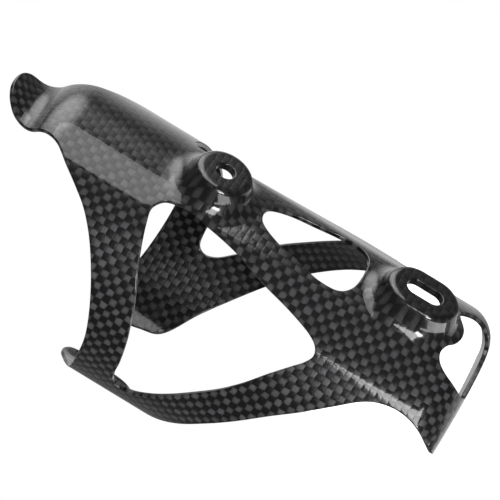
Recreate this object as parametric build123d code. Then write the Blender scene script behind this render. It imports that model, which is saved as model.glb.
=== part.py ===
from build123d import *
from math import sin, cos, tan, radians, pi
import os

os.makedirs("parts", exist_ok=True)

# Frame: origin midway between the two bolt holes on the mounting plane.
# +Z runs along the bottle axis toward the mouth, the seats face -Y, the wings open toward +Y.

# ---- bolted joint to the bicycle frame ----
BOLT_SPACING = 64.0
HOLE_R = 2.8
SLOT_W = 5.6
SLOT_L = 11.0
SEAT_T = 2.4
UPPER_SEAT_R = 7.4
LOWER_SEAT_L = 20.0
LOWER_SEAT_W = 14.4
SEAT_EDGE_R = 1.6
FLANK_TAPER = 18.0
FLANK_T = 1.5
BOSS_DEPTH = 14.0

# ---- laminate shell round the bottle ----
SHELL_R = 37.0
SHELL_T = 1.4
AXIS_Y = 44.0
BEND_Z = -47.0
BEND_R = 10.0
FLOOR_Z = BEND_Z - BEND_R
LIP_R = 14.0
SHOULDER_Z = 73.9
SHOULDER_R = 12.0
SHOULDER_A = radians(51)
CURL_R = 5.6
CURL_A = radians(81)
TONGUE_L = 5.8

# ---- borders between the moulded members ----
NECK_Z = 82.0
BRIDGE_TOP_Z = 47.0
STRUT_TOP_Z = 14.0
STRUT_LOW_Z = -10.0
FOOT_TOP_Z = -40.0
STRAP_TOP_Z = -54.0
HEAD_A = 31.0
ARM_A = 50.0
WING_A = 106.0
NOTCH_A = 15.0
NOTCH_TOP_Z = -50.0

# ---- middle angle of each member beside the centre line ----
STRUT_MID_A = 22.0
FOOT_MID_A = 34.0
UPPER_ARM_MID_A = 68.0
LOWER_ARM_MID_A = 78.0
WING_MID_A = 135.0

# ---- cutting shapes that reach past the cage ----
INNER_REACH = 0.45 * SHELL_R
OUTER_REACH = 1.35 * SHELL_R
CUT_MARGIN = 1.0
CUT_DEPTH = 20.0
CUT_SPAN = 60.0
CORE_L = 300.0

# Outline curves, (angle from the back centre line in degrees, height in mm).
TONGUE_EDGE = [(20.1, NECK_Z), (20.2, 85.0), (18.6, 87.6), (15.6, 90.4), (11.2, 93.0), (5.5, 94.6), (0, 95.0)]
HEAD_EDGE = [(HEAD_A, 69.0), (27.0, 72.2), (23.2, 75.4), (20.8, 79.4), (20.1, NECK_Z)]
ARM_TOP = [(HEAD_A, 69.0), (41.8, 60.0), (56.0, 52.2), (71.0, 46.7), (86.0, 42.9), (WING_A, 41.2)]
WING_TOP = [(WING_A, 41.2), (120.0, 41.4), (134.0, 42.4), (147.0, 45.0), (156.0, 46.8)]
WING_END = [(156.0, 46.8), (162.0, 45.0), (164.0, 39.0), (162.0, 31.5), (158.5, 25.4)]
WING_LOW = [(158.5, 25.4), (142.0, 18.9), (127.0, 12.3), (115.0, 6.9), (WING_A, 2.8)]
ARM_LOW = [(WING_A, 2.8), (91.0, -5.6), (79.0, -12.7), (67.0, -21.2), (56.0, -29.0), (ARM_A, -33.6)]
HEEL_SIDE = [(ARM_A, -33.6), (47.7, -36.6), (46.7, FOOT_TOP_Z)]
FOOT_SIDE = [(46.7, FOOT_TOP_Z), (46.9, -44.0), (49.4, -49.4), (53.6, STRAP_TOP_Z)]
WINDOW_APEX = [(26.2, STRUT_TOP_Z), (21.3, 30.5), (20.3, 38.6), (23.2, 43.2), (27.0, 43.9), (HEAD_A, 43.4)]
WINDOW_TOP = [(HEAD_A, 43.4), (44.0, 40.6), (64.4, 34.9), (84.5, 31.0), (WING_A, 29.7)]
WINDOW_TIP = [(WING_A, 29.7), (113.4, 28.9), (115.6, 26.2), (113.5, 22.6), (WING_A, 17.7)]
WINDOW_LOW = [(WING_A, 17.7), (90.0, 8.4), (72.0, -1.8), (60.0, -8.0), (ARM_A, -13.3)]
WINDOW_HEEL = [(ARM_A, -13.3), (45.3, -14.7), (40.6, -13.2), (37.4, STRUT_LOW_Z)]
WINDOW_STRUT = [(37.4, STRUT_LOW_Z), (33.2, -1.6), (29.6, 6.5), (26.2, STRUT_TOP_Z)]
CENTRE_TOP = [(8.2, STRUT_TOP_Z), (5.6, 16.2), (0, 17.0)]
CENTRE_SIDE = [(8.2, STRUT_TOP_Z), (12.3, 6.0), (15.4, -2.0), (16.4, -7.0), (16.0, STRUT_LOW_Z)]
CENTRE_LOW = [(16.0, STRUT_LOW_Z), (14.4, -13.0), (9.5, -14.7), (0, -15.2)]
NOSE_EDGE = [(0, -47.6), (5.0, -47.0), (10.5, -44.8), (NOTCH_A, -44.2)]
NOTCH_SIDE = [(NOTCH_A, -44.2), (19.2, -45.8), (22.3, -49.0), (23.6, STRAP_TOP_Z)]
NOTCH_LOW = [(23.6, STRAP_TOP_Z), (22.0, -55.5), (17.0, -55.9), (9.0, -55.3), (0, -54.8)]

# ---- floor strap in plan ----
STRAP_CORNER = (22.8, 29.5)
STRAP_ROOT = (32.2, 17.9)
STRAP_MID_Y = 23.0
STRAP_BACK_Y = -5.0


def flipped(points):
    """The same curve run from its other end."""
    return points[::-1]


def other_side(points):
    """The same curve mirrored across the back centre line, run backwards."""
    return [(-angle, height) for angle, height in points[::-1]]


def mirrored(curves):
    """The mirror images of an outline's curves, in the order that closes it."""
    return [other_side(curve) for curve in curves[::-1]]


def joined(curve):
    """A curve that ends on the centre line, carried on through its mirror image."""
    return curve + other_side(curve)[1:]


def radial_wire(curves, centre, distance):
    """Closed outline drawn on the plane that stands off the bottle axis at the centre angle."""
    out = radians(centre)
    edges = []
    for curve in curves:
        points = []
        for angle, height in curve:
            side = distance * tan(radians(angle - centre))
            x = -distance * sin(out) - side * cos(out)
            y = AXIS_Y - distance * cos(out) + side * sin(out)
            points.append(Vector(x, y, height))
        if len(points) == 2:
            edges.append(Edge.make_line(points[0], points[1]))
        else:
            edges.append(Edge.make_spline(points))
    return Wire(edges)


def radial_block(curves, centre):
    """Block whose walls all point at the bottle axis."""
    inner = radial_wire(curves, centre, INNER_REACH)
    outer = radial_wire(curves, centre, OUTER_REACH)
    return Solid.make_loft([inner, outer], ruled=True)


def profile_point(radius, height):
    """Point of the shell's section on the back centre line."""
    return (0, AXIS_Y - radius, height)


def shell_line(step):
    """Edges of the shell's section from floor lip to tongue tip, moved in by the step, and their two ends."""
    wall = SHELL_R - step
    bend = BEND_R - step
    floor_r = SHELL_R - BEND_R
    lip = profile_point(LIP_R, FLOOR_Z + step)
    bend_in = profile_point(floor_r, FLOOR_Z + step)
    bend_mid = profile_point(floor_r + bend * sin(pi / 4), BEND_Z - bend * cos(pi / 4))
    bend_out = profile_point(wall, BEND_Z)
    arc_r = SHOULDER_R - step
    root = SHELL_R - SHOULDER_R
    half = SHOULDER_A / 2
    shoulder = profile_point(wall, SHOULDER_Z)
    shoulder_mid = profile_point(root + arc_r * cos(half), SHOULDER_Z + arc_r * sin(half))
    shoulder_end = profile_point(root + arc_r * cos(SHOULDER_A), SHOULDER_Z + arc_r * sin(SHOULDER_A))
    # the curl turns about a centre outside the wall
    curl_cr = root + (SHOULDER_R + CURL_R) * cos(SHOULDER_A)
    curl_cz = SHOULDER_Z + (SHOULDER_R + CURL_R) * sin(SHOULDER_A)
    curl_r = CURL_R + step
    halfway = SHOULDER_A - CURL_A / 2
    curl_mid = profile_point(curl_cr - curl_r * cos(halfway), curl_cz - curl_r * sin(halfway))
    lean = SHOULDER_A - CURL_A
    end_r = curl_cr - curl_r * cos(lean)
    end_z = curl_cz - curl_r * sin(lean)
    curl_end = profile_point(end_r, end_z)
    tip = profile_point(end_r - TONGUE_L * sin(lean), end_z + TONGUE_L * cos(lean))
    edges = [
        Edge.make_line(lip, bend_in),
        Edge.make_three_point_arc(bend_in, bend_mid, bend_out),
        Edge.make_line(bend_out, shoulder),
        Edge.make_three_point_arc(shoulder, shoulder_mid, shoulder_end),
        Edge.make_three_point_arc(shoulder_end, curl_mid, curl_end),
        Edge.make_line(curl_end, tip),
    ]
    return edges, lip, tip


def make_shell():
    """Laminate turned round the bottle axis: floor lip, bottom bend, wall, shoulder and curled lip."""
    outer_edges, outer_lip, outer_tip = shell_line(0)
    inner_edges, inner_lip, inner_tip = shell_line(SHELL_T)
    caps = [Edge.make_line(outer_lip, inner_lip), Edge.make_line(outer_tip, inner_tip)]
    section = Face(Wire(outer_edges + inner_edges + caps))
    axis = Axis((0, AXIS_Y, 0), (0, 0, 1))
    return revolve(section, axis, 360)


def seat_outline(centre_z, length, width):
    """Flat face on the mounting plane, its normal pointing at the bottle."""
    plane = Plane(origin=(0, 0, centre_z), x_dir=(0, 0, 1), z_dir=(0, 1, 0))
    if length > width:
        return plane * SlotOverall(length, width)
    return plane * Circle(length / 2)


def boss_block(centre_z, length, width, inset):
    """Tapered dome from the mounting plane into the shell, drawn in by the inset."""
    face = seat_outline(centre_z, length - 2 * inset, width - 2 * inset)
    return extrude(face, amount=BOSS_DEPTH, dir=(0, 1, 0), taper=-FLANK_TAPER)


def seat_slab(centre_z):
    """Everything within the seat's thickness of the mounting plane, round one boss."""
    return Pos(0, SEAT_T / 2, centre_z) * Box(CUT_SPAN, SEAT_T, CUT_SPAN)


def opening_plane(centre_z):
    """Plane just outside a seat, its normal pointing at the bottle."""
    return Plane(origin=(0, -CUT_MARGIN, centre_z), x_dir=(0, 0, 1), z_dir=(0, 1, 0))


def make_boss(centre_z, length, width, opening):
    """Bolt seat and the flank that carries it down to the shell."""
    dome = boss_block(centre_z, length, width, 0)
    rim = dome.edges().group_by(Axis.Y)[0]
    dome = fillet(rim, SEAT_EDGE_R)
    hollow = boss_block(centre_z, length, width, FLANK_T / cos(radians(FLANK_TAPER)))
    slab = seat_slab(centre_z)
    hollow = hollow - slab
    core = Pos(0, AXIS_Y, 0) * Cylinder(SHELL_R - SHELL_T, CORE_L)
    cup = dome - hollow - core - opening
    return cup & slab, cup - slab, dome


def save(shape, name):
    """Write a shape that must be a single solid."""
    solids = shape.solids()
    assert len(solids) == 1, (name, len(solids))
    export_step(solids[0], "parts/" + name + ".step")
    print(name, round(solids[0].volume, 1))


shell = make_shell()
upper_z = BOLT_SPACING / 2
lower_z = -BOLT_SPACING / 2

# ---- bosses ----
round_hole = extrude(opening_plane(upper_z) * Circle(HOLE_R), amount=CUT_DEPTH)
long_hole = extrude(opening_plane(lower_z) * SlotOverall(SLOT_L, SLOT_W), amount=CUT_DEPTH)
upper_seat, upper_flank, upper_dome = make_boss(upper_z, 2 * UPPER_SEAT_R, 2 * UPPER_SEAT_R, round_hole)
lower_seat, lower_flank, lower_dome = make_boss(lower_z, LOWER_SEAT_L, LOWER_SEAT_W, long_hole)
save(upper_seat, "upper_boss_seat")
save(upper_flank, "upper_boss_flank")
save(lower_seat, "lower_boss_seat")
save(lower_flank, "lower_boss_flank")

# ---- members on the centre line ----
across_neck = [(-TONGUE_EDGE[0][0], NECK_Z), TONGUE_EDGE[0]]
save(shell & radial_block([across_neck, joined(TONGUE_EDGE)], 0), "retention_tongue")

across_head = [(-HEAD_A, BRIDGE_TOP_Z), (HEAD_A, BRIDGE_TOP_Z)]
head_side = [(HEAD_A, BRIDGE_TOP_Z), HEAD_EDGE[0]]
head_half = [head_side, HEAD_EDGE]
head_outline = [across_head] + head_half + [flipped(across_neck)] + mirrored(head_half)
save(shell & radial_block(head_outline, 0), "head_shell")

strut_head = [CENTRE_SIDE[0], WINDOW_STRUT[-1]]
bridge_side = [WINDOW_APEX[-1], (HEAD_A, BRIDGE_TOP_Z)]
bridge_half = [strut_head, WINDOW_APEX, bridge_side]
bridge_outline = bridge_half + [flipped(across_head)] + mirrored(bridge_half)
bridge_outline.append(flipped(joined(CENTRE_TOP)))
save((shell & radial_block(bridge_outline, 0)) - upper_dome, "upper_bridge")

strut_foot = [CENTRE_SIDE[-1], WINDOW_STRUT[0]]
tail_side = [WINDOW_HEEL[0], ARM_LOW[-1]]
foot_top = [HEEL_SIDE[-1], (NOTCH_A, FOOT_TOP_Z)]
notch_wall = [(NOTCH_A, FOOT_TOP_Z), NOSE_EDGE[-1]]
tail_half = [strut_foot, flipped(WINDOW_HEEL), tail_side, HEEL_SIDE, foot_top, notch_wall]
nose_curve = joined(flipped(NOSE_EDGE))
tail_outline = tail_half + [nose_curve] + mirrored(tail_half)
tail_outline.append(flipped(joined(CENTRE_LOW)))
save((shell & radial_block(tail_outline, 0)) - lower_dome, "tail_plate")

# ---- members on each side ----
strut = shell & radial_block([CENTRE_SIDE, strut_foot, WINDOW_STRUT, flipped(strut_head)], STRUT_MID_A)

arm_root = [WINDOW_TOP[0], ARM_TOP[0]]
arm_end = [ARM_TOP[-1], WINDOW_TOP[-1]]
upper_arm = shell & radial_block([arm_root, ARM_TOP, arm_end, flipped(WINDOW_TOP)], UPPER_ARM_MID_A)

low_end = [WINDOW_LOW[0], ARM_LOW[0]]
low_root = [ARM_LOW[-1], WINDOW_LOW[-1]]
lower_arm = shell & radial_block([low_end, ARM_LOW, low_root, flipped(WINDOW_LOW)], LOWER_ARM_MID_A)

wing_outline = [WING_TOP, WING_END, WING_LOW, flipped(low_end), flipped(WINDOW_TIP), flipped(arm_end)]
wing_tip = shell & radial_block(wing_outline, WING_MID_A)

foot_low = [FOOT_SIDE[-1], NOTCH_SIDE[-1]]
foot_outline = [FOOT_SIDE, foot_low, flipped(NOTCH_SIDE), flipped(notch_wall), flipped(foot_top)]
foot = shell & radial_block(foot_outline, FOOT_MID_A)

for member, name in (
    (strut, "strut"),
    (upper_arm, "upper_arm"),
    (lower_arm, "lower_arm"),
    (wing_tip, "wing_tip"),
    (foot, "foot"),
):
    save(member, "left_" + name)
    save(mirror(member, about=Plane.YZ), "right_" + name)

# ---- floor strap ----
corner_x, corner_y = STRAP_CORNER
root_x, root_y = STRAP_ROOT
plan = [
    Edge.make_line((corner_x, corner_y), (root_x, root_y)),
    Edge.make_line((root_x, root_y), (root_x, STRAP_BACK_Y)),
    Edge.make_line((root_x, STRAP_BACK_Y), (-root_x, STRAP_BACK_Y)),
    Edge.make_line((-root_x, STRAP_BACK_Y), (-root_x, root_y)),
    Edge.make_line((-root_x, root_y), (-corner_x, corner_y)),
    Edge.make_three_point_arc((-corner_x, corner_y), (0, STRAP_MID_Y), (corner_x, corner_y)),
]
strap_low_z = FLOOR_Z - CUT_MARGIN
footprint = Pos(0, 0, strap_low_z) * extrude(Face(Wire(plan)), amount=STRAP_TOP_Z - strap_low_z, dir=(0, 0, 1))
notch_a = NOTCH_LOW[0][0]
notch_edge = [(notch_a, NOTCH_TOP_Z), NOTCH_LOW[0]]
notch_outline = [notch_edge, joined(NOTCH_LOW), other_side(notch_edge)]
notch_outline.append([(-notch_a, NOTCH_TOP_Z), (notch_a, NOTCH_TOP_Z)])
save((shell & footprint) - radial_block(notch_outline, 0), "floor_strap")
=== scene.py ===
import math

import bpy
import numpy as np
from mathutils import Matrix, Vector
from mathutils.geometry import delaunay_2d_cdt
from mathutils.kdtree import KDTree


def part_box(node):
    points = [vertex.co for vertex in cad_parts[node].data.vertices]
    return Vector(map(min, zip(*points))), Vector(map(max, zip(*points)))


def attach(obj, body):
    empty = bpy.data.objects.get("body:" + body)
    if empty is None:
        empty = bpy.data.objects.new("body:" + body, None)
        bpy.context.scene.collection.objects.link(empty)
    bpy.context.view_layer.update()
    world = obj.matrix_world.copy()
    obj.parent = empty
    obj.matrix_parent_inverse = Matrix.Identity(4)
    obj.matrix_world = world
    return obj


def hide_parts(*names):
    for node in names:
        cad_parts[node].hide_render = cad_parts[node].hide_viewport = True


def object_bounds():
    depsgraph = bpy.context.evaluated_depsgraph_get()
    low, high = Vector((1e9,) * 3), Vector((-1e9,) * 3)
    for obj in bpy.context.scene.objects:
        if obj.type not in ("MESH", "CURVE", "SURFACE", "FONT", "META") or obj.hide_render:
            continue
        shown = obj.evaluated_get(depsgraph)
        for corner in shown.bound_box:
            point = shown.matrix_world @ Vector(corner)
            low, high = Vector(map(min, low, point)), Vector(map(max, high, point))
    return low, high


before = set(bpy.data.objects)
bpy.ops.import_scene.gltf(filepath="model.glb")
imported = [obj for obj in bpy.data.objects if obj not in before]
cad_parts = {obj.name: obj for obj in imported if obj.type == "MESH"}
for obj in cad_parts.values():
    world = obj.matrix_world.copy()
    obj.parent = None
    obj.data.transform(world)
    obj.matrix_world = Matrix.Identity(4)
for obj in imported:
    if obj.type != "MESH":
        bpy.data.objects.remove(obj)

cad_low, cad_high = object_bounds()

# A water bottle cage moulded in one sheet of woven carbon laminate. The sheet is drawn flat, in
# developed coordinates: the angle from the back centre line and the height s measured along its
# outer face. It is then wrapped into place and cut into one closed piece for each CAD node.
# Lengths are in millimetres until a mesh is made.
MM = 1000.0

# ---- places taken from the frame ----
SHELL_R = (cad_high.x - cad_low.x) * MM / 2
AXIS_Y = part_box("head_shell")[0].y * MM + SHELL_R
FLOOR_Z = cad_low.z * MM
UPPER_Z = sum(corner.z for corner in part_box("upper_boss_seat")) * MM / 2
LOWER_Z = sum(corner.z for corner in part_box("lower_boss_seat")) * MM / 2

# ---- the wall's section ----
SHELL_T = 1.4
EDGE_R = 0.35
BEND_R = 10.0
BEND_Z = FLOOR_Z + BEND_R
SHOULDER_Z = 73.9
SHOULDER_R = 12.0
SHOULDER_A = math.radians(51)
CURL_R = 5.6
CURL_A = math.radians(81)
FLOOR_TILT = math.radians(4)
FLOOR_S = BEND_Z - BEND_R * (math.pi / 2 + FLOOR_TILT)
CURL_S = SHOULDER_Z + SHOULDER_R * SHOULDER_A
TONGUE_S = CURL_S + CURL_R * CURL_A

# ---- bosses and the raised spine between them ----
HOLE_R = 2.8
SLOT_L = 11.0
UPPER_SEAT_R = 6.4
LOWER_SEAT_R = 6.1
LOWER_SEAT_L = 17.8
SEAT_T = 2.4
SEAT_EDGE_R = 2.2
SEAT_POCKET_R = 0.8
WALL_A = math.radians(69)
FLARE_R = 5.0
BOSS_H = 7.3
SPINE_H = 1.3
SPINE_X = (11.0, 19.5)
SPINE_Z = (-48.0, -30.0, 34.0, 48.0)

# ---- borders between the moulded members ----
SEAT_BORDER = 2.4
FLANK_BORDER = 4.8
NECK_S = 82.8
BRIDGE_TOP_S = 47.0
STRUT_TOP_S = 14.0
STRUT_LOW_S = -10.0
FOOT_TOP_S = -40.0
STRAP_TOP_S = -54.75
WINDOW_MID_S = 23.0
HEAD_A = 31.0
ARM_A = 50.0
WING_A = 106.0
NOTCH_A = 15.0

# ---- mesh spacing ----
EDGE_STEP = 0.7
GRID_STEP = 1.1
RIM_STEPS = 4
BOSS_RINGS = (
    -0.5, 0.0, 0.25, 0.5, 0.75, 1.0, 1.25, 1.5, 1.7, 1.9, 2.1, SEAT_BORDER, 2.7, 3.0, 3.35, 3.7,
    4.05, 4.4, FLANK_BORDER, 5.3, 5.8, 6.4, 7.1, 7.8,
)
SLOPE_REACH = 0.02
RING_GAP = 0.3 * EDGE_STEP
GRID_GAP = 0.55 * GRID_STEP

# Outline of the left half, from the tip of the tongue down to the corner of the floor strap.
OUTLINE = [
    (0, 97.8), (5.5, 97.4), (11.2, 95.5), (15.6, 92.5), (18.6, 89.6), (20.2, 86.9), (20.1, 82.8),
    (20.8, 79.4), (23.4, 75.2), (29.5, 70.2), (36, 64.6), (41.8, 60), (50.3, 55), (59.6, 50.8),
    (71, 46.7), (82.7, 43.6), (93.6, 41.8), (104, 41.3), (120, 41.5), (135, 42.5), (148, 45),
    (157, 46.8), (162.5, 45), (164, 39), (161.8, 31), (159, 25.6), (140.9, 18.5), (126.7, 12.2),
    (113.8, 6.3), (103.8, 1.6), (90.4, -5.9), (79.1, -12.7), (69.2, -19.7), (59.3, -26.6),
    (51.7, -32.1), (48.3, -36.1), (46.6, -41.7), (47.5, -46.3), (49.9, -50.6), (53, -54.5), (56, -59),
    (57.5, FLOOR_S),
]
SIDE_WINDOW = [
    (20.2, 38.3), (21.2, 41.7), (24.1, 43.3), (27, 43.9), (33.8, 42.9), (43.5, 40.7), (54, 37.9),
    (64.4, 34.7), (74.6, 32.5), (84.5, 30.9), (97.9, 29.8), (107, 29.7), (113.5, 28.8), (115.5, 26.5),
    (114, 23.2), (108.5, 19.2), (98, 13), (90, 8.4), (80.5, 2.6), (72, -2), (62.5, -6.5),
    (54.3, -10.8), (49.2, -13.6), (45.3, -14.7), (41.6, -13.8), (38.4, -11), (33.2, -1.6),
    (30.3, 5.9), (24.5, 18.7), (21.3, 30.5),
]
CENTRE_WINDOW = [
    (0, 17), (4.5, 16.3), (7, 14.6), (10.6, 9.8), (13.5, 2.5), (16.5, -5.5), (15.6, -11.6),
    (10.9, -14.3), (0, -15.2),
]
NOTCH = [
    (0, -47.6), (5, -47), (10, -45), (14, -44.2), (18, -45.2), (21.3, -47.8), (23.3, -51.5),
    (24.2, -56), (21.5, -59.8), (12, -60.9), (0, -61),
]
STRAP_CORNER_X = 22.8
STRAP_CORNER_Y = 29.5
STRAP_MID_Y = 23.0


# ======== the flat pattern ========
def flat(knots):
    """Knots given as (degrees, mm) in millimetres on the developed outer face."""
    points = np.array(knots, float)
    points[:, 0] = np.radians(points[:, 0]) * SHELL_R
    return points


def mirrored(points):
    return points * (-1.0, 1.0)


def spaced(points, step):
    """The same path with its points evenly spaced, about a step apart."""
    run = np.concatenate([[0], np.cumsum(np.hypot(*np.diff(points, axis=0).T))])
    count = max(1, round(run[-1] / step))
    marks = np.linspace(0, run[-1], count + 1)
    return np.column_stack([np.interp(marks, run, points[:, i]) for i in (0, 1)])


def smooth(knots, before, after, step=EDGE_STEP):
    """Centripetal curve through the knots, evenly spaced. before and after steer its two ends."""
    k = np.vstack([before, knots, after])
    t = np.concatenate([[0], np.cumsum(np.sqrt(np.hypot(*np.diff(k, axis=0).T)))])
    slope = np.diff(k, axis=0) / np.diff(t)[:, None]
    chord = (k[2:] - k[:-2]) / (t[2:] - t[:-2])[:, None]
    tangent = slope[:-1] - chord + slope[1:]
    k, t = k[1:-1], t[1:-1]
    path = [k[:1]]
    f = np.linspace(0, 1, 17)[1:, None]
    for i in range(len(k) - 1):
        h = t[i + 1] - t[i]
        path.append(
            (2 * f**3 - 3 * f**2 + 1) * k[i]
            + (f**3 - 2 * f**2 + f) * h * tangent[i]
            + (3 * f**2 - 2 * f**3) * k[i + 1]
            + (f**3 - f**2) * h * tangent[i + 1]
        )
    return spaced(np.vstack(path), step)


def closed_smooth(knots):
    k = flat(knots)
    return smooth(np.vstack([k, k[:1]]), k[-1:], k[1:2])


def half_smooth(knots):
    """A curve whose two ends lie on the centre line and cross it squarely."""
    k = flat(knots)
    return smooth(k, mirrored(k[1:2]), mirrored(k[-2:-1]))


def strap_edge():
    """Inner edge of the floor strap, an arc in plan, from its corner to the centre line."""
    rise = STRAP_CORNER_Y - STRAP_MID_Y
    radius = (STRAP_CORNER_X**2 + rise**2) / (2 * rise)
    x = np.linspace(STRAP_CORNER_X, 0, 30)
    y = STRAP_MID_Y + radius - np.sqrt(radius**2 - x**2)
    out = np.hypot(x, AXIS_Y - y)
    angle = np.arctan2(x, AXIS_Y - y)
    s = FLOOR_S - (SHELL_R - BEND_R - out)
    return spaced(np.column_stack([angle * SHELL_R, s]), EDGE_STEP)


def from_plane(x, z):
    """Developed point of a place given by its x and z on the wall."""
    return np.column_stack([np.arcsin(np.abs(x) / SHELL_R) * SHELL_R, z])


def stadium(centre_z, straight, radius, step=EDGE_STEP):
    """Left half of a rounded slot's outline, from its top on the centre line to its bottom."""
    steps = max(6, round(math.pi / 2 * radius / step))
    turn = np.linspace(0, math.pi / 2, steps + 1)
    x = radius * np.sin(turn)
    z = straight / 2 + radius * np.cos(turn)
    sides = max(1, round(straight / step))
    middle = np.linspace(straight / 2, -straight / 2, sides + 1)[1:-1] if straight else np.array([])
    x = np.concatenate([x, np.full(len(middle), radius), x[::-1] if straight else x[-2::-1]])
    z = np.concatenate([z, middle, -z[::-1] if straight else -z[-2::-1]])
    return from_plane(x, centre_z + z)


def inset(path, closed=False):
    """The path moved in by the edge radius, for the rounded rim to bring it back.

    The sheet is on the path's left.
    """
    if closed:
        before, after = np.roll(path, 1, axis=0), np.roll(path, -1, axis=0)
        before[0] = path[-2]
        after[-1] = path[1]
    else:
        before, after = np.vstack([path[:1], path[:-1]]), np.vstack([path[1:], path[-1:]])
    steps = after - before
    steps /= np.hypot(*steps.T)[:, None]
    if not closed:
        ends = steps[[0, -1]]
        on_centre = np.abs(path[[0, -1], :1]) < 1e-6
        steps[[0, -1]] = np.where(on_centre, np.sign(ends) * (1, 0), ends)
    side = np.column_stack([-steps[:, 1], steps[:, 0]])
    return path + side * EDGE_R


def inside(points, loops):
    """Which points lie within the loops, by counting crossings."""
    crossed = np.zeros(len(points), int)
    for loop in loops:
        a, b = loop, np.roll(loop, -1, axis=0)
        for (x0, y0), (x1, y1) in zip(a, b):
            if y0 == y1:
                continue
            hit = (points[:, 1] > min(y0, y1)) & (points[:, 1] <= max(y0, y1))
            where = x0 + (points[:, 1] - y0) * (x1 - x0) / (y1 - y0)
            crossed += hit & (points[:, 0] < where)
    return crossed % 2 == 1


def smoothstep(value, low, high):
    t = np.clip((value - low) / (high - low), 0, 1)
    return t * t * (3 - 2 * t)


# ======== the wrapped surface ========
def section(s):
    """Radius and height of the outer face at the developed height s."""
    bend = np.clip((BEND_Z - s) / BEND_R, 0, math.pi / 2 + FLOOR_TILT)
    shoulder = np.clip((s - SHOULDER_Z) / SHOULDER_R, 0, SHOULDER_A)
    curl = np.clip((s - CURL_S) / CURL_R, 0, CURL_A)
    floor = np.maximum(FLOOR_S - s, 0)
    tongue = np.maximum(s - TONGUE_S, 0)
    radius = SHELL_R - BEND_R * (1 - np.cos(bend)) - floor * math.cos(FLOOR_TILT)
    height = np.clip(s, BEND_Z, SHOULDER_Z) - BEND_R * np.sin(bend) + floor * math.sin(FLOOR_TILT)
    radius -= SHOULDER_R * (1 - np.cos(shoulder))
    height += SHOULDER_R * np.sin(shoulder)
    radius += CURL_R * (math.cos(SHOULDER_A) - np.cos(SHOULDER_A - curl))
    height += CURL_R * (math.sin(SHOULDER_A) - np.sin(SHOULDER_A - curl))
    lean = CURL_A - SHOULDER_A
    return radius + tongue * math.sin(lean), height + tongue * math.cos(lean)


def boss_distance(x, z):
    """Distance outside the nearer bolt seat's outline, negative on the seat."""
    upper = np.hypot(x, z - UPPER_Z) - UPPER_SEAT_R
    half = LOWER_SEAT_L / 2 - LOWER_SEAT_R
    lower = np.hypot(x, np.maximum(np.abs(z - LOWER_Z) - half, 0)) - LOWER_SEAT_R
    return np.minimum(upper, lower)


def boss_run():
    """Where the boss's wall starts and ends, and where its flare ends."""
    edge = SEAT_EDGE_R * math.sin(WALL_A)
    wall = (BOSS_H - (SEAT_EDGE_R + FLARE_R) * (1 - math.cos(WALL_A))) / math.tan(WALL_A)
    return edge, edge + wall, edge + wall + FLARE_R * math.sin(WALL_A)


WALL_START, WALL_END, FLARE_END = boss_run()


def boss_rise(d):
    """Height of the boss's outer face over the seat plane, as a share of the whole."""
    edge = SEAT_EDGE_R - np.sqrt(np.maximum(SEAT_EDGE_R**2 - np.clip(d, 0, WALL_START) ** 2, 0))
    wall = (np.clip(d, WALL_START, WALL_END) - WALL_START) * math.tan(WALL_A)
    left = np.clip(FLARE_END - d, 0, FLARE_END - WALL_END)
    flare = np.sqrt(FLARE_R**2 - left**2) - FLARE_R * math.cos(WALL_A)
    return (edge + wall + flare) / BOSS_H


def outer_face(u, s):
    """Outer face at developed points, as an array of places."""
    radius, height = section(s)
    angle = u / SHELL_R
    x = -radius * np.sin(angle)
    y = AXIS_Y - radius * np.cos(angle)
    near = (np.abs(angle) < math.pi / 2) & (height < SHOULDER_Z)
    across = 1 - smoothstep(np.abs(x), *SPINE_X)
    low, low_end, high_end, high = SPINE_Z
    along = smoothstep(height, low, low_end) * (1 - smoothstep(height, high_end, high))
    y = y - np.where(near, SPINE_H * across * along, 0)
    rise = np.where(near, boss_rise(boss_distance(x, height)), 1)
    return np.column_stack([x, y * rise, height])


def normals(face, u, s):
    """The face's unit normals, pointing away from the bottle."""
    along_u = face(u + SLOPE_REACH, s) - face(u - SLOPE_REACH, s)
    along_s = face(u, s + SLOPE_REACH) - face(u, s - SLOPE_REACH)
    normal = np.cross(along_s, along_u)
    return normal / np.linalg.norm(normal, axis=1)[:, None]


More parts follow.
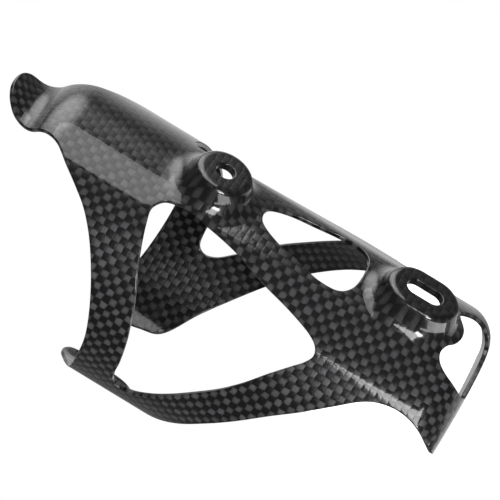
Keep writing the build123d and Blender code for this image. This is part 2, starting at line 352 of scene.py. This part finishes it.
def inner_face(u, s):
    """Face toward the bottle: the outer one moved in, with a flat pocket behind each seat."""
    outer = outer_face(u, s)
    plain = outer - SHELL_T * normals(outer_face, u, s)
    x, z = outer[:, 0], outer[:, 2]
    d = boss_distance(x, z)
    grad_x = boss_distance(x + SLOPE_REACH, z) - boss_distance(x - SLOPE_REACH, z)
    grad_z = boss_distance(x, z + SLOPE_REACH) - boss_distance(x, z - SLOPE_REACH)
    grad = np.column_stack([grad_x, grad_z]) / (2 * SLOPE_REACH)
    # pocket section: flat, a small fillet, then a wall parallel to the outer one
    foot = WALL_START - SHELL_T * math.sin(WALL_A)
    foot_y = SEAT_EDGE_R * (1 - math.cos(WALL_A)) + SHELL_T * math.cos(WALL_A)
    turn = foot + (SEAT_T - foot_y) / math.tan(WALL_A)
    start = turn - SEAT_POCKET_R * math.tan(WALL_A / 2)
    end = WALL_END - SHELL_T * math.sin(WALL_A)
    share = np.clip((d - start) / (WALL_END - start), 0, 1)
    place = start + share * (end - start)
    arc_end = start + SEAT_POCKET_R * math.sin(WALL_A)
    along_arc = np.clip(place - start, 0, arc_end - start)
    lift = SEAT_POCKET_R - np.sqrt(np.maximum(SEAT_POCKET_R**2 - along_arc**2, 0))
    lift = lift + np.maximum(place - arc_end, 0) * math.tan(WALL_A)
    shift = np.where(d > start, place - d, 0)[:, None] * grad
    pocket = np.column_stack([x + shift[:, 0], SEAT_T + lift, z + shift[:, 1]])
    mix = smoothstep(d, WALL_START, WALL_END)[:, None]
    near = ((d < WALL_END) & (np.abs(u) < SHELL_R))[:, None]
    return np.where(near, pocket * (1 - mix) + plain * mix, plain)


# ======== the sheet's mesh ========
class Pattern:
    """Points and marked edges of the left half of the flat pattern."""

    def __init__(self):
        self.points = []
        self.edges = []

    def path(self, points, marked=True):
        first = len(self.points)
        self.points += [tuple(p) for p in points]
        if marked:
            self.edges += [(first + i, first + i + 1) for i in range(len(points) - 1)]


def centre_line(top, low):
    """Points down the centre line between two heights."""
    steps = max(1, round((top - low) / GRID_STEP))
    return np.column_stack([np.zeros(steps + 1), np.linspace(top, low, steps + 1)])


def boss_ring(boss, d):
    if boss == "upper":
        return stadium(UPPER_Z, 0, UPPER_SEAT_R + d)
    return stadium(LOWER_Z, LOWER_SEAT_L - 2 * LOWER_SEAT_R, LOWER_SEAT_R + d)


def nearest(path, target):
    """The point of a path closest to a target given as (degrees, mm)."""
    goal = flat([target])[0]
    return path[np.argmin(np.hypot(*(path - goal).T))]


def straight(a, b):
    return spaced(np.array([a, b]), GRID_STEP)


def draw_pattern():
    """Outlines, borders and inner points of the left half."""
    knots = flat(OUTLINE)
    strap = strap_edge()
    rim = smooth(knots, mirrored(knots[1:2]), knots[-1:] + (knots[-1:] - knots[-2:-1]))
    side = inset(rim[::-1])[::-1]
    strap = inset(strap[::-1])[::-1]
    side[-1] = strap[0] = (side[-1] + strap[0]) / 2
    window = inset(closed_smooth(SIDE_WINDOW), closed=True)
    centre = inset(half_smooth(CENTRE_WINDOW))
    notch = inset(half_smooth(NOTCH))
    hole = inset(stadium(UPPER_Z, 0, HOLE_R, EDGE_STEP / 2))
    slot = inset(stadium(LOWER_Z, SLOT_L - 2 * HOLE_R, HOLE_R, EDGE_STEP / 2))
    outline = np.vstack([side, strap[1:]])
    pattern = Pattern()
    loop = [outline]
    for opening in (notch, slot, centre, hole):
        loop.append(opening[::-1])
    ends = [
        (side[0], hole[0]),
        (hole[-1], centre[0]),
        (centre[-1], slot[0]),
        (slot[-1], notch[0]),
        (notch[-1], strap[-1]),
    ]
    for top, low in ends:
        pattern.path(centre_line(top[1], low[1]))
    for path in (outline, window, centre, notch, hole, slot):
        pattern.path(path)
    # each target only has to lie near the edge whose closest point it picks
    borders = [
        (nearest(outline, (20.1, NECK_S)), (0, nearest(outline, (20.1, NECK_S))[1])),
        (nearest(outline, (HEAD_A, 69)), flat([(HEAD_A, BRIDGE_TOP_S)])[0]),
        (flat([(HEAD_A, BRIDGE_TOP_S)])[0], (0, BRIDGE_TOP_S)),
        (flat([(HEAD_A, BRIDGE_TOP_S)])[0], nearest(window, (HEAD_A, 43.4))),
        (nearest(window, (26.3, STRUT_TOP_S)), nearest(centre, (8, STRUT_TOP_S))),
        (nearest(window, (37.6, STRUT_LOW_S)), nearest(centre, (16, STRUT_LOW_S))),
        (nearest(window, (ARM_A, -13.3)), nearest(outline, (ARM_A, -33.6))),
        (nearest(window, (WING_A, 29.7)), nearest(outline, (WING_A, 41.3))),
        (nearest(window, (WING_A, 17.7)), nearest(outline, (WING_A, 2.7))),
        (nearest(outline, (46.8, FOOT_TOP_S)), flat([(NOTCH_A, FOOT_TOP_S)])[0]),
        (flat([(NOTCH_A, FOOT_TOP_S)])[0], nearest(notch, (NOTCH_A, -44.2))),
        (nearest(outline, (53.2, STRAP_TOP_S)), nearest(notch, (23.5, STRAP_TOP_S))),
    ]
    for a, b in borders:
        pattern.path(straight(a, b))
    half_loop = np.vstack([outline, notch[::-1], slot[::-1], centre[::-1], hole[::-1]])
    loops = [half_loop, window[:-1]]
    taken = KDTree(len(pattern.points))
    for i, (u, s) in enumerate(pattern.points):
        taken.insert((u, s, 0), i)
    taken.balance()

    def free(points, gap):
        kept = points[inside(points, loops)]
        return np.array([p for p in kept if taken.find((p[0], p[1], 0))[2] > gap])

    for boss in ("upper", "lower"):
        for d in BOSS_RINGS:
            ring = boss_ring(boss, d)
            if d in (SEAT_BORDER, FLANK_BORDER):
                pattern.path(ring)
            else:
                ring = free(ring, RING_GAP)
                pattern.path(ring, marked=False)
    rows = int((TONGUE_S + SHELL_R - FLOOR_S) / (GRID_STEP * math.sqrt(3) / 2))
    columns = int(math.pi * SHELL_R / GRID_STEP)
    j, i = np.mgrid[0:rows, 0:columns]
    grid = np.column_stack([(i + 0.5 * (j % 2)).ravel(), j.ravel() * math.sqrt(3) / 2]) * GRID_STEP
    grid += (0.5 * GRID_STEP, FLOOR_S - 12)
    grid = free(grid, GRID_GAP)
    x = SHELL_R * np.sin(grid[:, 0] / SHELL_R)
    d = boss_distance(x, grid[:, 1])
    behind = grid[:, 0] > SHELL_R
    ringed = (d > BOSS_RINGS[0] - 0.5) & (d < BOSS_RINGS[-1] + 0.5) & ~behind
    pattern.path(grid[~ringed], marked=False)
    return pattern, loops


def member_at(u, s):
    """Name of the member that a developed point belongs to, without its side."""
    angle = math.degrees(u / SHELL_R)
    radius, height = section(s)
    x = -radius * math.sin(u / SHELL_R)
    d = boss_distance(x, height)
    if d < FLANK_BORDER and angle < ARM_A:
        boss = "upper" if s > 0 else "lower"
        return boss + ("_boss_seat" if d < SEAT_BORDER else "_boss_flank")
    if s > NECK_S:
        return "retention_tongue"
    if s < STRAP_TOP_S:
        return "floor_strap"
    if angle < HEAD_A and s > STRUT_TOP_S:
        return "head_shell" if s > BRIDGE_TOP_S else "upper_bridge"
    if angle > WING_A:
        return "wing_tip"
    if s > WINDOW_MID_S:
        return "upper_arm"
    if angle > ARM_A:
        return "lower_arm"
    if s > STRUT_LOW_S:
        return "strut"
    return "foot" if s < FOOT_TOP_S and angle > NOTCH_A else "tail_plate"


def triangulate():
    """Points and triangles of the left half, with a member's name for each triangle."""
    pattern, loops = draw_pattern()
    points = [Vector(p) for p in pattern.points]
    out = delaunay_2d_cdt(points, pattern.edges, [], 0, 1e-5, True)
    verts, edges, faces, _, edge_sources, _ = out
    verts = np.array([tuple(v) for v in verts])
    verts[np.abs(verts[:, 0]) < 1e-4, 0] = 0
    marked = {tuple(sorted(e)) for e, source in zip(edges, edge_sources) if source}
    faces = np.array(faces)
    middles = verts[faces].mean(axis=1)
    faces = faces[inside(middles, loops)]
    sides = {}
    for f, face in enumerate(faces):
        for i in range(3):
            edge = tuple(sorted((face[i], face[i - 1])))
            sides.setdefault(edge, []).append(f)
    names = [None] * len(faces)
    for start in range(len(faces)):
        if names[start] is not None:
            continue
        region, stack = {start}, [start]
        while stack:
            face = faces[stack.pop()]
            for i in range(3):
                edge = tuple(sorted((face[i], face[i - 1])))
                if edge in marked:
                    continue
                for other in sides[edge]:
                    if other not in region:
                        region.add(other)
                        stack.append(other)
        votes = [member_at(*verts[faces[f]].mean(axis=0)) for f in region]
        name = max(sorted(set(votes)), key=votes.count)
        for f in region:
            names[f] = name
    return verts, faces, names


CENTRE_MEMBERS = (
    "retention_tongue", "head_shell", "upper_bridge", "upper_boss_seat", "upper_boss_flank",
    "tail_plate", "lower_boss_seat", "lower_boss_flank", "floor_strap",
)


class Sheet:
    """The whole laminate: both halves of the pattern, wrapped, with its rims worked out."""

    def __init__(self):
        flat_points, half_faces, names = triangulate()
        u, s = flat_points.T
        outer = outer_face(u, s)
        inner = inner_face(u, s)
        outer_n = normals(outer_face, u, s)
        inner_n = normals(inner_face, u, s)
        count = len(u)
        twin = np.where(u == 0, np.arange(count), np.arange(count) + count)
        flip = np.array([-1.0, 1.0, 1.0])
        self.flat = np.vstack([flat_points, mirrored(flat_points)])
        self.outer = np.vstack([outer, outer * flip])
        self.inner = np.vstack([inner, inner * flip])
        self.outer_n = np.vstack([outer_n, outer_n * flip])
        self.inner_n = np.vstack([inner_n, inner_n * flip])
        wrapped = outer[half_faces]
        turned = np.cross(wrapped[:, 1] - wrapped[:, 0], wrapped[:, 2] - wrapped[:, 0])
        facing = np.einsum("ij,ij->i", turned, outer_n[half_faces].mean(axis=1)) > 0
        left = np.where(facing[:, None], half_faces, half_faces[:, ::-1])
        right = twin[left][:, ::-1]
        self.members = {}
        for face, mirror_face, name in zip(left, right, names):
            if name in CENTRE_MEMBERS:
                self.members.setdefault(name, []).extend([face, mirror_face])
            else:
                self.members.setdefault("left_" + name, []).append(face)
                self.members.setdefault("right_" + name, []).append(mirror_face)
        every = np.vstack([left, right])
        directed = {(face[i - 1], face[i]) for face in every for i in range(3)}
        self.rim_edges = {(a, b) for a, b in directed if (b, a) not in directed}
        out = np.zeros_like(self.outer)
        for a, b in self.rim_edges:
            run = self.outer[b] - self.outer[a]
            for end in (a, b):
                out[end] += np.cross(run, self.outer_n[end]) / np.linalg.norm(run)
        self.rim_points = {}
        for i in {i for edge in self.rim_edges for i in edge}:
            side = out[i] - self.outer_n[i] * (out[i] @ self.outer_n[i])
            side /= np.linalg.norm(side)
            rows = []
            for place, normal in ((self.outer[i], self.outer_n[i]), (self.inner[i], -self.outer_n[i])):
                for step in range(1, RIM_STEPS + 1):
                    turn = step / RIM_STEPS * math.pi / 2
                    point = place + EDGE_R * (math.sin(turn) * side - (1 - math.cos(turn)) * normal)
                    rows.append((point, math.sin(turn) * side + math.cos(turn) * normal))
            self.rim_points[i] = rows[:RIM_STEPS] + rows[RIM_STEPS:][::-1]


class PieceMesh:
    """One closed piece of the sheet."""

    def __init__(self, sheet, faces):
        self.sheet = sheet
        self.index = {}
        self.points = []
        self.normals = []
        self.laminate = []
        self.faces = []
        for face in faces:
            self.faces.append([self.vertex("outer", i) for i in face])
            self.faces.append([self.vertex("inner", i) for i in reversed(face)])
        directed = {(face[i - 1], face[i]) for face in faces for i in range(3)}
        border = {(a, b) for a, b in directed if (b, a) not in directed}
        walls = [edge for edge in border if edge not in sheet.rim_edges]
        rims = [edge for edge in border if edge in sheet.rim_edges]
        for a, b in sorted(rims):
            self.rim(a, b)
        for a, b in sorted(walls):
            corners = (("outer", b), ("outer", a), ("inner", a), ("inner", b))
            self.faces.append([self.vertex(layer, i) for layer, i in corners])
        rim_starts, rim_ends = {a for a, _ in rims}, {b for _, b in rims}
        for i in sorted(rim_starts - rim_ends):
            self.faces.append(self.profile(i)[::-1])
        for i in sorted(rim_ends - rim_starts):
            self.faces.append(self.profile(i))

    def vertex(self, layer, i, row=0):
        key = (layer, i, row)
        if key not in self.index:
            sheet = self.sheet
            depth = {"outer": 0.0, "inner": SHELL_T}.get(layer)
            if layer == "outer":
                point, normal = sheet.outer[i], sheet.outer_n[i]
            elif layer == "inner":
                point, normal = sheet.inner[i], -sheet.inner_n[i]
            else:
                point, normal = sheet.rim_points[i][row]
                depth = (row + 1) / (2 * RIM_STEPS + 1) * SHELL_T
            self.index[key] = len(self.points)
            self.points.append(point)
            self.normals.append(normal)
            self.laminate.append((*sheet.flat[i], depth))
        return self.index[key]

    def profile(self, i):
        rows = [self.vertex("rim", i, row) for row in range(2 * RIM_STEPS)]
        return [self.vertex("outer", i)] + rows + [self.vertex("inner", i)]

    def rim(self, a, b):
        first, second = self.profile(a), self.profile(b)
        for k in range(len(first) - 1):
            self.faces.append([first[k], first[k + 1], second[k + 1], second[k]])

    def build(self, name):
        mesh = bpy.data.meshes.new(name)
        points = np.array(self.points) / MM
        mesh.from_pydata([tuple(p) for p in points], [], self.faces)
        mesh.polygons.foreach_set("use_smooth", [True] * len(mesh.polygons))
        attribute = mesh.attributes.new("laminate", "FLOAT_VECTOR", "POINT")
        attribute.data.foreach_set("vector", np.array(self.laminate, np.float32).ravel())
        mesh.update()
        mesh.normals_split_custom_set_from_vertices([tuple(n) for n in self.normals])
        piece = bpy.data.objects.new(name, mesh)
        bpy.context.scene.collection.objects.link(piece)
        return piece


# ======== materials ========
# the cloth, in millimetres of the flat pattern
TOW = 2.03
WANDER = 1.1
WANDER_SCALE = 0.42
CROWN_POWER = 0.45
FIBRES_ACROSS = 9.0
FIBRES_ALONG = 0.5
FIBRE_RELIEF = 0.15
DARKEST_CELL = 0.7
CELL_SPREAD = 0.6
DARK_TOW = (0.0025, 0.0025, 0.003, 1)
# painted sheen: every other cell is given this lighter colour, which stands in for light reflected off
# the fibres; the tows themselves are one dark colour
TOW_SHEEN = (0.082, 0.083, 0.087, 1)
# the painted sheen is made fainter on the face toward the bottle and round the bosses
INNER_FACE_DEPTH = 0.8 * SHELL_T
INNER_SHEEN_FADE = 0.3
BOSS_SHEEN_FADE = (9.0, 15.0)
BOSS_SHEEN_SHOWN = 0.25
RELIEF_D = 0.0001
COAT_PEEL_SCALE = 0.55
COAT_CLOTH_RELIEF = 0.4


class Nodes:
    """A node tree that is filled by short calls."""

    def __init__(self, tree):
        self.tree = tree
        tree.nodes.clear()

    def add(self, kind, inputs=None, **settings):
        node = self.tree.nodes.new(kind)
        for key, value in settings.items():
            setattr(node, key, value)
        for key, value in (inputs or {}).items():
            if isinstance(value, bpy.types.NodeSocket):
                self.tree.links.new(value, node.inputs[key])
            else:
                node.inputs[key].default_value = value
        return node

    def math(self, operation, *values):
        return self.add("ShaderNodeMath", dict(enumerate(values)), operation=operation).outputs[0]

    def vector(self, operation, *values, output="Vector"):
        node = self.add("ShaderNodeVectorMath", dict(enumerate(values)), operation=operation)
        return node.outputs[output]

    def ramp(self, value, start, end, low, high, **settings):
        inputs = {"Value": value, "From Min": start, "From Max": end, "To Min": low, "To Max": high}
        return self.add("ShaderNodeMapRange", inputs, **settings).outputs["Result"]

    def noise(self, place, scale, detail):
        inputs = {"Vector": place, "Scale": scale, "Detail": detail}
        return self.add("ShaderNodeTexNoise", inputs).outputs

    def bump(self, height, strength):
        inputs = {"Strength": strength, "Distance": RELIEF_D, "Height": height}
        return self.add("ShaderNodeBump", inputs).outputs["Normal"]

    def mix(self, share, a, b):
        inputs = {"Factor": share, "A": a, "B": b}
        node = self.tree.nodes.new("ShaderNodeMix")
        node.data_type = "RGBA"
        for key, value in inputs.items():
            socket = next(x for x in node.inputs if x.name == key and x.enabled)
            if isinstance(value, bpy.types.NodeSocket):
                self.tree.links.new(value, socket)
            else:
                socket.default_value = value
        return next(x for x in node.outputs if x.enabled)


def wandering(n, drawn):
    """Places on the cloth, whose tows wander a little from their straight lines."""
    drift = n.noise(drawn, WANDER_SCALE, 2.0)["Color"]
    centred = n.vector("SUBTRACT", drift, (0.5, 0.5, 0.5))
    shift = n.add("ShaderNodeVectorMath", {0: centred, "Scale": WANDER}, operation="SCALE")
    return n.vector("ADD", drawn, shift.outputs["Vector"])


def painted_sheen_strength(n, drawn):
    """How strong the painted sheen of the light cells is: fainter on the face toward the bottle and
    round the bosses.
    """
    depth = n.add("ShaderNodeSeparateXYZ", {0: drawn}).outputs["Z"]
    inner = n.math("GREATER_THAN", depth, INNER_FACE_DEPTH)
    by_face = n.math("SUBTRACT", 1.0, n.math("MULTIPLY", inner, INNER_SHEEN_FADE))
    # the two bosses stand equally far above and below the middle, so one distance serves both
    sunk = n.vector("MULTIPLY", drawn, (1.0, 1.0, 0.0))
    folded = n.vector("ABSOLUTE", sunk)
    off_boss = n.vector("DISTANCE", folded, (0.0, UPPER_Z, 0.0), output="Value")
    return n.math("MULTIPLY", by_face, n.ramp(off_boss, *BOSS_SHEEN_FADE, BOSS_SHEEN_SHOWN, 1.0))


def fibre_grain(n, split, parity):
    """Fine streaks that run one way in every other cell and the other way between."""
    grains = []
    for scale_x, scale_y in ((FIBRES_ACROSS, FIBRES_ALONG), (FIBRES_ALONG, FIBRES_ACROSS)):
        x = n.math("MULTIPLY", split["X"], scale_x)
        y = n.math("MULTIPLY", split["Y"], scale_y)
        fibres = n.add("ShaderNodeCombineXYZ", {0: x, 1: y, 2: 0.0}).outputs[0]
        grains.append(n.noise(fibres, 1.0, 1.0)["Fac"])
    warp = n.math("MULTIPLY", grains[0], parity)
    weft = n.math("MULTIPLY", grains[1], n.math("SUBTRACT", 1.0, parity))
    return n.math("ADD", warp, weft)


def carbon_material():
    """Plain-weave carbon fibre under a clear coat, with a painted sheen on every other cell."""
    material = bpy.data.materials.new("carbon_laminate")
    material.use_nodes = True
    n = Nodes(material.node_tree)
    drawn = n.add("ShaderNodeAttribute", attribute_name="laminate").outputs["Vector"]
    place = wandering(n, drawn)
    split = n.add("ShaderNodeSeparateXYZ", {0: place}).outputs
    across = n.math("DIVIDE", split["X"], TOW)
    along = n.math("DIVIDE", split["Y"], TOW)
    column, row = n.math("FLOOR", across), n.math("FLOOR", along)
    parity = n.math("PINGPONG", n.math("ADD", column, row), 1.0)
    # each cell is raised in the middle and dips toward its edges
    crowns = []
    for place_in_tow in (n.math("FRACT", across), n.math("FRACT", along)):
        arch = n.math("SINE", n.math("MULTIPLY", place_in_tow, math.pi))
        crowns.append(n.math("POWER", arch, CROWN_POWER))
    over = n.math("MULTIPLY", *crowns)
    cell = n.add("ShaderNodeCombineXYZ", {0: column, 1: row, 2: 0.0}).outputs[0]
    random = n.add("ShaderNodeTexWhiteNoise", {"Vector": cell}, noise_dimensions="3D").outputs["Value"]
    grain = fibre_grain(n, split, parity)
    cell_shade = n.math("ADD", DARKEST_CELL, n.math("MULTIPLY", random, CELL_SPREAD))
    shade = n.math("MULTIPLY", cell_shade, n.math("ADD", 0.5, grain))
    # painted sheen: every other cell takes the light colour, scaled by random tone and fibre grain; it
    # is strongest on each cell's crown, with painted shade in the dips between cells
    light = n.math("MULTIPLY", parity, painted_sheen_strength(n, drawn))
    light = n.math("MULTIPLY", n.math("MULTIPLY", light, shade), over)
    colour = n.mix(light, DARK_TOW, TOW_SHEEN)
    bump = n.bump(n.math("ADD", over, n.math("MULTIPLY", grain, FIBRE_RELIEF)), 1.0)
    peel = n.noise(place, COAT_PEEL_SCALE, 3.0)["Fac"]
    coat = n.bump(n.math("ADD", peel, n.math("MULTIPLY", over, COAT_CLOTH_RELIEF)), 0.13)
    shader = n.add(
        "ShaderNodeBsdfPrincipled",
        {
            "Base Color": colour,
            "Roughness": 0.34,
            "Specular IOR Level": 0.15,
            "Normal": bump,
            "Coat Weight": 1.0,
            "Coat Roughness": 0.06,
            "Coat IOR": 1.5,
            "Coat Normal": coat,
        },
    )
    n.add("ShaderNodeOutputMaterial", {"Surface": shader.outputs[0]})
    return material


def plain_material(name, colour, glow):
    material = bpy.data.materials.new(name)
    material.use_nodes = True
    shader = material.node_tree.nodes["Principled BSDF"]
    shader.inputs["Base Color"].default_value = (*colour, 1)
    shader.inputs["Roughness"].default_value = 0.9
    shader.inputs["Specular IOR Level"].default_value = 0.0
    shader.inputs["Emission Color"].default_value = (*colour, 1)
    shader.inputs["Emission Strength"].default_value = glow
    return material


# ======== the pieces ========
def make_pieces():
    carbon = carbon_material()
    sheet = Sheet()
    for node, faces in sorted(sheet.members.items()):
        piece = PieceMesh(sheet, faces).build(node + "_laminate")
        piece.data.materials.append(carbon)
        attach(piece, "root")
        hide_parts(node)


# ======== studio ========
FLOOR_SIZE = 4.0
FLOOR_COLOUR = (0.95, 0.95, 0.95)
FLOOR_GLOW = 1.1
BOX_D = 1.0
CAMERA_AIM = Vector((0.0064, 0.0258, 0.0153))
CAMERA_D = 0.921
CAMERA_AZIMUTH = math.radians(-48.66)
CAMERA_ELEVATION = math.radians(-0.553)
CAMERA_ROLL = math.radians(58.76)
CAMERA_LENS = 235.7


def make_floor():
    mesh = bpy.data.meshes.new("floor")
    half = FLOOR_SIZE / 2
    corners = [(-half, -half), (half, -half), (half, half), (-half, half)]
    mesh.from_pydata([(x, y, cad_low.z) for x, y in corners], [], [(0, 1, 2, 3)])
    mesh.materials.append(plain_material("studio_floor", FLOOR_COLOUR, FLOOR_GLOW))
    floor = bpy.data.objects.new("floor", mesh)
    bpy.context.scene.collection.objects.link(floor)
    # light boxes stand below the floor, so it is hidden from reflections and from their light
    floor.visible_glossy = False
    floor.visible_diffuse = False
    floor.visible_shadow = False


def outward(azimuth, elevation):
    """Direction from the object to a stand placed round it, azimuth 0 being at -Y."""
    flat_part = math.cos(elevation)
    return Vector((math.sin(azimuth) * flat_part, -math.cos(azimuth) * flat_part, math.sin(elevation)))


def facing_in(back, distance, turn):
    """Placement of a camera or light that looks back at the cage, turned about its own line."""
    face = (-back).to_track_quat("-Z", "Y").to_matrix().to_4x4() @ Matrix.Rotation(turn, 4, "Z")
    return Matrix.Translation(CAMERA_AIM + back * distance) @ face


def make_camera():
    data = bpy.data.cameras.new("camera")
    data.lens = CAMERA_LENS
    data.clip_end = 20
    camera = bpy.data.objects.new("camera", data)
    bpy.context.scene.collection.objects.link(camera)
    back = outward(CAMERA_AZIMUTH, CAMERA_ELEVATION)
    camera.matrix_world = facing_in(back, CAMERA_D, -CAMERA_ROLL)
    bpy.context.scene.camera = camera


def soft_box(name, azimuth, elevation, across, up, brightness, turn=0, fill=False):
    """A soft box as seen from the cage: where it stands, the degrees it spans and its brightness.

    A fill box only lights diffusely. The others only show in reflections.
    """
    data = bpy.data.lights.new(name, "AREA")
    data.shape = "RECTANGLE"
    data.size = 2 * BOX_D * math.tan(math.radians(across) / 2)
    data.size_y = 2 * BOX_D * math.tan(math.radians(up) / 2)
    data.energy = brightness * math.pi * data.size * data.size_y
    light = bpy.data.objects.new(name, data)
    bpy.context.scene.collection.objects.link(light)
    light.visible_diffuse = fill
    light.visible_glossy = not fill
    back = outward(math.radians(azimuth), math.radians(elevation))
    light.matrix_world = facing_in(back, BOX_D, math.radians(turn))


# two soft bright places in the room, which show only in reflections
ROOM_BRIGHT = Vector((0.90, 0.25, 0.36)).normalized()
ROOM_BRIGHT_EDGE = 0.74
ROOM_BRIGHT_GLOW = (0.15, 0.85)
ROOM_TOP = Vector((0.56, -0.62, 0.55)).normalized()
ROOM_TOP_EDGE = 0.82
ROOM_TOP_GLOW = (0.0, 3.8)


def make_world():
    """White behind the cage for the camera, and a dim room for reflections."""
    world = bpy.data.worlds.new("studio")
    bpy.context.scene.world = world
    world.use_nodes = True
    world.cycles_visibility.diffuse = False
    n = Nodes(world.node_tree)
    way = n.add("ShaderNodeTexCoord").outputs["Generated"]
    glows = []
    for middle, edge, strengths in (
        (ROOM_BRIGHT, ROOM_BRIGHT_EDGE, ROOM_BRIGHT_GLOW),
        (ROOM_TOP, ROOM_TOP_EDGE, ROOM_TOP_GLOW),
    ):
        toward = n.vector("DOT_PRODUCT", way, middle, output="Value")
        glows.append(n.ramp(toward, edge, 1.0, *strengths, interpolation_type="SMOOTHSTEP"))
    glow = n.math("ADD", *glows)
    seen = n.add("ShaderNodeBackground", {"Color": (1, 1, 1, 1), "Strength": 1.0}).outputs[0]
    room = n.add("ShaderNodeBackground", {"Color": (1, 1, 1, 1), "Strength": glow}).outputs[0]
    ray = n.add("ShaderNodeLightPath").outputs["Is Camera Ray"]
    both = n.add("ShaderNodeMixShader", {0: ray, 1: room, 2: seen}).outputs[0]
    n.add("ShaderNodeOutputWorld", {"Surface": both})


def make_lights():
    """Two boxes that light the cage, and five placed for the highlights on its coat."""
    soft_box("fill_box", -66, -14, 60, 60, 3.3, fill=True)
    soft_box("back_fill_box", 130, 25, 60, 60, 1.5, fill=True)
    soft_box("key_box", -49, -16.2, 14, 28, 9.0, -60)
    soft_box("key_core_box", -58, -22, 16, 12, 18.0, -64)
    soft_box("front_box", 8.5, 20.0, 32, 38, 2.9)
    soft_box("low_box", -92, -54, 76, 8, 4.8, -106)
    soft_box("side_box", 118, -50, 70, 26, 0.8, 60)


make_pieces()
make_floor()
make_camera()
make_world()
make_lights()
bpy.context.scene.view_settings.view_transform = "Standard"
